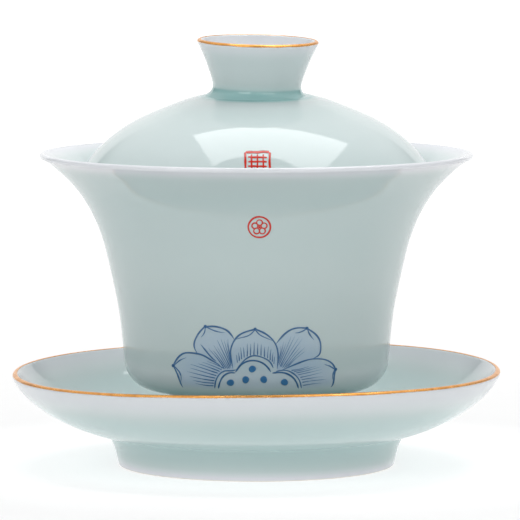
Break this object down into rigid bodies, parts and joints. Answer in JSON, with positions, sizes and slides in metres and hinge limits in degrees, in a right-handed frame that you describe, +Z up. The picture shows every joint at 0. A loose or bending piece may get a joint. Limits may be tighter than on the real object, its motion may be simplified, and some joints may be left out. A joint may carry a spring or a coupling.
{
  "type": "gaiwan",
  "caption": "Porcelain lidded tea bowl with a flared mouth and a domed lid with a trumpet knob, standing in a footed saucer, for brewing and pouring tea.",
  "frame": {"origin": "centre of the saucer's foot ring, on the surface that it stands on", "axes": "+Z up the common axis of saucer and bowl; -Y towards the painted lotus and the seals; the lid rests askew in the bowl, its top leaning 2.4 degrees towards -Y"},
  "size_m": [0.1122, 0.1122, 0.0983],
  "materials": {
    "celadon_glaze": "glossy pale celadon glaze over white porcelain",
    "gilt": "burnished overglaze gilding",
    "cobalt_wash": "thin cobalt wash under a glossy glaze",
    "cobalt_line": "cobalt brush line under a glossy glaze",
    "seal_red": "glossy red overglaze enamel"
  },
  "bodies": {
    "saucer": {"saucer": "celadon_glaze", "saucer_gilt": "gilt"},
    "bowl": {"bowl": "celadon_glaze", "lotus_petals": "cobalt_wash", "lotus_pod": "cobalt_line", "lotus_seeds": "cobalt_line", "bowl_seal": "seal_red"},
    "lid": {"lid_dome": "celadon_glaze", "lid_knob": "celadon_glaze", "knob_gilt": "gilt", "lid_seal": "seal_red"}
  },
  "joints": [
    {"name": "bowl_lift", "type": "slide", "parent": "saucer", "child": "bowl", "axis": [0, 0, 1], "range_m": [0, 0.06]},
    {"name": "lid_lift", "type": "slide", "parent": "bowl", "child": "lid", "axis": [0, 0, 1], "range_m": [0, 0.05]}
  ]
}
